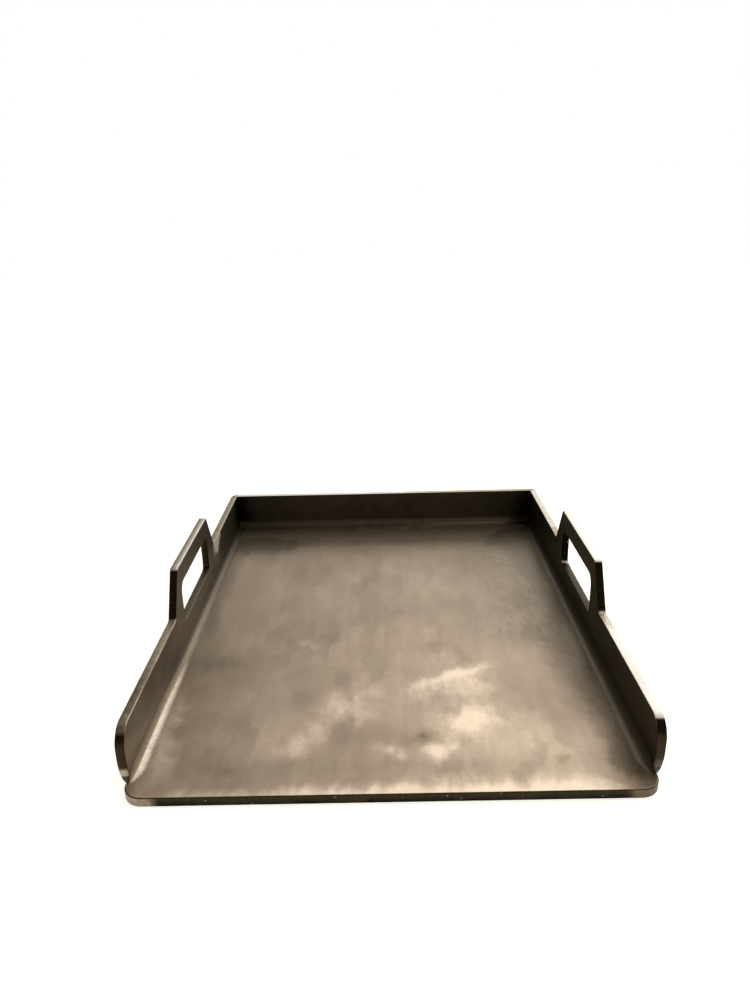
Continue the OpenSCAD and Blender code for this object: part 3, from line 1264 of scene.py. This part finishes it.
@dataclass
class SeamBeads:
    """The hollow fillet beads along the floor's three inside seams, mitred in the rear corners."""

    radius: float = 6.5 * MM
    across: int = 13
    step: float = 0.6 * MM
    ripple: float = 2.4 * MM
    ripple_height: float = 0.08 * MM
    # How far ripples stray along the bead, as a share of their pitch, and its longest wave
    stray: float = 0.6
    stray_wave: float = 40 * MM
    # Shares of ripples and of slow lumps in the ripple height, and the lumps' longest wave
    ripple_share: float = 0.6
    lump_share: float = 0.8
    lump_wave: float = 17 * MM
    # Drift of the toes, and its longest wave at the wall and at the floor
    toe_drift: float = 0.3 * MM
    toe_waves: Range = (31 * MM, 29 * MM)
    side_seed: int = 11
    back_seed: int = 17
    # How far a side bead runs on past its wall, the length over which it thins out, and its least section
    run_on: float = 4.5 * MM
    run_out: float = 11 * MM
    thinnest: float = 0.01
    # Shares of the way from the wall's tone to the floor's at the two toes; the right bead and the back bead
    # stay near the wall's dark tone as painted shade
    toes: dict[Side, Range] = field(
        default_factory=lambda: {Side.LEFT: (0.0, 1.0), Side.RIGHT: (0.0, 0.075)},
    )
    back_toes: Range = (0.11, 0.26)
    # Left bead's bright line, a painted highlight on the dressed bead: its strength, the share at its very
    # front, and where it sets in and fades out
    bright: float = 0.6
    highlight_front: float = 0.35
    highlight_from: Range = (-196 * MM, -172 * MM)
    highlight_until: Range = (-125 * MM, -40 * MM)
    # The wall's tone reaches this far past the wall toe where the left bead has no bright line
    wall_reach: float = 0.6
    # Strength of the painted shade on each side bead's rear part, and where it sets in along the tray
    dark_shade: dict[Side, float] = field(default_factory=lambda: {Side.LEFT: 0.7, Side.RIGHT: 0.5})
    shade_from: Range = (-110 * MM, 175 * MM)
    # Where the back bead's faint line, a painted highlight, sets in and fades out across the tray, and its
    # strength
    faint_highlight_from: Range = (-30 * MM, 70 * MM)
    faint_highlight_until: Range = (118 * MM, 134 * MM)
    faint_highlight: float = 0.3
    # Painted shade of the rear corners at the back bead's ends: where it begins, where it is full, and its
    # strength there
    end_shade: tuple[tuple[float, float, float], ...] = (
        (-60 * MM, -150 * MM, 0.42),
        (122 * MM, 140 * MM, 0.9),
    )

    def section(self, length: float, seed: int, open_start: bool) -> tuple[Array, Array, Array]:
        """Section points along a bead, as distance from the wall and height above the floor.

        The face is a quarter circle that meets wall and floor on a tangent, at radius * (1 + cos a)
        and radius * (1 + sin a) for angles a from 180 to 270 degrees. Ripples bow along the bead as
        sin(2 pi (distance + 4 pitch s (1 - s)) / pitch), fade out towards the toes, and both toes drift.

        Args:
            length: Length of the bead at the wall.
            seed: First seed of the drifts.
            open_start: Whether the bead runs out at its start.

        Returns:
            Share of the length at each station, distance from the wall, and height above the floor.
        """
        stations = round(length / self.step) + 1
        share = np.linspace(0, 1, stations)[:, None]
        along = share * length
        s = np.linspace(0, 1, self.across)[None, :]
        angle = np.pi * (1 + s / 2)
        bow = 4 * self.ripple * s * (1 - s)
        stray = self.stray * self.ripple * wander(along, self.stray_wave, seed)
        wave = self.ripple_share * np.sin(2 * np.pi * (along + bow + stray) / self.ripple)
        lump = self.lump_share * wander(along, self.lump_wave, seed + 1)
        radius = self.radius - self.ripple_height * np.sin(np.pi * s) * (wave + lump)
        wall_wave, floor_wave = self.toe_waves
        wall_toe = self.toe_drift * (1 - s) ** 3 * wander(along, wall_wave, seed + 2)
        floor_toe = self.toe_drift * s ** 3 * wander(along, floor_wave, seed + 3)
        wall = self.radius + radius * np.cos(angle) + floor_toe
        rise = self.radius + radius * np.sin(angle) + wall_toe
        wall[:, 0], rise[:, -1] = 0.0, 0.0
        if open_start:
            size = np.sqrt(np.clip(along / self.run_out, self.thinnest, 1))
            wall, rise = wall * size, rise * size
        corner = np.zeros((stations, 1))
        return share, np.hstack((wall, corner)), np.hstack((rise, corner))

    def spans(self, made: Surface, toes: Range) -> Array:
        """Shares of the way from the wall's tone to the floor's, even from toe to toe, zero in the corner."""
        return np.resize(np.r_[np.linspace(*toes, self.across), 0.0], len(made.points))

    def side_bead(self, side: Side, finish: bpy.types.Material) -> None:
        """Bead along a side plate, from its run-out at the front to the mitre at the back.

        Args:
            side: Side of the tray.
            finish: Finish of the bead.
        """
        node = f"{side.name.lower()}_seam_weld"
        low, high = cad_box(node)
        start = low[1] - self.run_on
        share, wall, rise = self.section(high[1] - start, self.side_seed + side.value, True)
        along = start + (high[1] - wall - start) * share
        made = tube_surface(np.stack((wall + low[0], along, rise + low[2]), axis=-1))
        y = made.points[:, 1]
        made.marks[Mark.SPAN] = self.spans(made, self.toes[side])
        made.marks[Mark.BURNISH] = -self.dark_shade[side] * smooth_step(y, *self.shade_from)
        if side is Side.LEFT:
            begun = self.highlight_front + (1 - self.highlight_front) * smooth_step(y, *self.highlight_from)
            faded = smooth_step(y, *self.highlight_until)
            made.marks[Mark.BURNISH] += self.bright * begun * (1 - faded)
            made.marks[Mark.SPAN] -= self.wall_reach * faded * (1 - made.marks[Mark.SPAN])
            made.flip()
        else:
            made.points[:, 0] = low[0] + high[0] - made.points[:, 0]
        made.settle(node, "weld_steel", finish)

    def back_bead(self, finish: bpy.types.Material) -> None:
        """Bead along the back plate, between the two mitres.

        Args:
            finish: Finish of the bead.
        """
        node = "back_seam_weld"
        low, high = cad_box(node)
        half = cad_box("back_plate")[1][0]
        share, wall, rise = self.section(2 * half, self.back_seed, False)
        made = tube_surface(
            np.stack(((2 * share - 1) * (half - wall), high[1] - wall, rise + low[2]), axis=-1),
        )
        x = made.points[:, 0]
        line = smooth_step(x, *self.faint_highlight_from) * (1 - smooth_step(x, *self.faint_highlight_until))
        dull = self.spans(made, self.back_toes)
        made.marks[Mark.SPAN] = dull + line * (self.spans(made, (0.0, 1.0)) - dull)
        made.marks[Mark.BURNISH] = self.faint_highlight * line
        for start, full, strength in self.end_shade:
            made.marks[Mark.BURNISH] -= strength * smooth_step(x, start, full)
        made.flip()
        made.settle(node, "weld_steel", finish)

    def dress(self, finish: bpy.types.Material) -> None:
        """Builds the three beads with the dressed weld finish.

        Args:
            finish: Finish of the beads.
        """
        for side in Side:
            self.side_bead(side, finish)
        self.back_bead(finish)


@dataclass
class CornerBead:
    """The bead that fills an open outside corner at the rear, ground to a quarter round."""

    side: Side
    arris: float = 0.6 * MM
    points: int = 13
    step: float = 1 * MM
    # Waver of the grinding, its longest wave and its seed
    waver: float = 0.08 * MM
    waver_wave: float = 13 * MM
    waver_seed: int = 23

    @property
    def node(self) -> str:
        """Name of the CAD node."""
        return f"rear_{self.side.name.lower()}_corner_weld"

    def build(self) -> Surface:
        """Builds the bead: a quarter disc carried up, drawn in over an arris at each end.

        A ring at height z has the radius less arris * (1 - sin t) within the arris, and a slight
        waver of the grinding elsewhere.

        Returns:
            The closed surface with its marks.
        """
        low, high = cad_box(self.node)
        turn = np.radians(np.linspace(0, 90, ARRIS_ROWS))
        ends = self.arris * (1 - np.cos(turn))
        shaft = np.arange(low[2] + 2 * self.arris, high[2] - 2 * self.arris, self.step)
        z = np.r_[low[2] + ends, shaft, high[2] - ends[::-1]][:, None]
        inset = self.arris * (1 - np.sin(turn))
        inset = np.r_[inset, np.zeros(len(shaft)), inset[::-1]][:, None]
        angle = np.radians(np.linspace(180, 90, self.points))
        drift = 1 + wander(z, self.waver_wave, self.waver_seed + self.side.value)
        radius = (high[0] - low[0]) - inset - self.waver * drift * np.sin(2 * (angle - np.pi / 2))
        hub = high[0] if self.side is Side.LEFT else low[0]
        corner = np.zeros((len(z), 1))
        x = hub - self.side.value * np.hstack((radius * np.cos(angle), corner))
        y = low[1] + np.hstack((radius * np.sin(angle), corner))
        made = tube_surface(np.stack((x, y, np.broadcast_to(z, x.shape)), axis=-1))
        if self.side is Side.RIGHT:
            made.flip()
        top = smooth_step(made.points[:, 2], high[2] - self.arris, high[2])
        made.marks[Mark.GROUND] = top * EDGE_WEAR_AND_LIGHT[self.side].rear_corner
        return made

    def dress(self, finish: bpy.types.Material) -> None:
        """Builds the bead and gives it the dressed weld finish."""
        self.build().settle(self.node, "weld_steel", finish)


@dataclass
class Studio:
    """White sweep, soft light from behind on the right, and the camera."""

    focal_px: float = 780.0
    eye: tuple[float, float, float] = (-1.97 * MM, -553.25 * MM, 309.67 * MM)
    pitch: float = 0.3531
    yaw: float = -0.0088
    roll: float = 0.024
    sensor: float = 36.0
    clip: Range = (0.01, 50.0)
    floor_half: float = 4.0
    floor_colour: str = "#f4f1ec"
    floor_roughness: float = 0.9
    floor_glow: float = 0.95
    light_from: tuple[float, float, float] = (0.5, 0.75, 0.75)
    light_spread: Range = (0.6, 0.98)
    fill_from: tuple[float, float, float] = (0.0, -1.0, 0.25)
    fill_spread: Range = (0.3, 0.95)
    sky_low: str = "#34312c"
    sky_fill: str = "#524f49"
    sky_high: str = "#fffaf2"
    sky_strength: float = 2.2
    backdrop: Colour = (1.0, 1.0, 1.0, 1.0)

    def add_camera(self) -> None:
        """Adds the camera at the photograph's place, turned by yaw, pitch and roll."""
        ahead = np.array([
            math.sin(self.yaw) * math.cos(self.pitch),
            math.cos(self.yaw) * math.cos(self.pitch),
            -math.sin(self.pitch),
        ])
        level = np.array([math.cos(self.yaw), -math.sin(self.yaw), 0.0])
        down = np.cross(ahead, level)
        right = math.cos(self.roll) * level + math.sin(self.roll) * down
        up = math.sin(self.roll) * level - math.cos(self.roll) * down
        data = bpy.data.cameras.new("camera")
        data.sensor_width = self.sensor
        data.lens = self.sensor * self.focal_px / IMAGE_LONG_SIDE
        data.clip_start, data.clip_end = self.clip
        camera = bpy.data.objects.new("camera", data)
        turn = np.eye(4)
        turn[:3, :3] = np.column_stack((right, up, -ahead))
        turn[:3, 3] = self.eye
        camera.matrix_world = Matrix(turn.tolist())
        bpy.context.scene.collection.objects.link(camera)
        bpy.context.scene.camera = camera

    def add_floor(self) -> None:
        """Adds the pale floor under the tray."""
        half = self.floor_half
        corners = np.array([(-half, -half, 0), (half, -half, 0), (half, half, 0), (-half, half, 0)])
        floor = Surface(corners, [[0, 1, 2, 3]]).to_object("studio_floor")
        # Matt paper, lit so brightly that only the tray's own shadow shows on it
        made = bpy.data.materials.new("matt_white_paper")
        add = fresh_tree(made)
        paper = to_linear(self.floor_colour)
        shader = add("BsdfPrincipled", {
            "Base Color": paper,
            "Roughness": self.floor_roughness,
            "Emission Color": paper,
            "Emission Strength": self.floor_glow,
        })
        add("OutputMaterial", {"Surface": shader})
        floor.data.materials.append(made)

    def add_light(self) -> None:
        """Fills the world with a large soft light at the rear right and a weak fill from the front."""
        world = bpy.data.worlds.new("studio")
        bpy.context.scene.world = world
        add = fresh_tree(world)
        way = add("TexCoord", output="Generated")
        colour = to_linear(self.sky_low)
        lobes = (
            (self.fill_from, self.fill_spread, self.sky_fill),
            (self.light_from, self.light_spread, self.sky_high),
        )
        for source, spread, bright in lobes:
            toward = np.array(source) / np.linalg.norm(source)
            facing = add("VectorMath", (way, toward.tolist()), "Value", operation="DOT_PRODUCT")
            share = add("MapRange", (facing, *spread), **SOFT)
            colour = add("Mix", {0: share, 6: colour, 7: to_linear(bright)}, **COLOURS)
        sky = add("Background", (colour, self.sky_strength))
        plain = add("Background", (self.backdrop, 1.0))
        seen = add("LightPath", output="Is Camera Ray")
        both = add("MixShader", (seen, sky, plain))
        add("OutputWorld", {"Surface": both})
        bpy.context.scene.view_settings.view_transform = "Standard"

    def set_up(self) -> None:
        """Adds the camera, the floor and the light."""
        self.add_camera()
        self.add_floor()
        self.add_light()


def main() -> None:
    """Sets up the studio and builds each piece in order."""
    logging.basicConfig(level=logging.INFO, format="%(name)s: %(message)s")
    Studio().set_up()
    BasePlate().dress()
    for side in Side:
        SidePlate(side).dress()
    BackPlate().dress()
    weld = WELD_STEEL.material()
    SeamBeads().dress(weld)
    for side in Side:
        CornerBead(side).dress(weld)


if __name__ == "__main__":
    main()
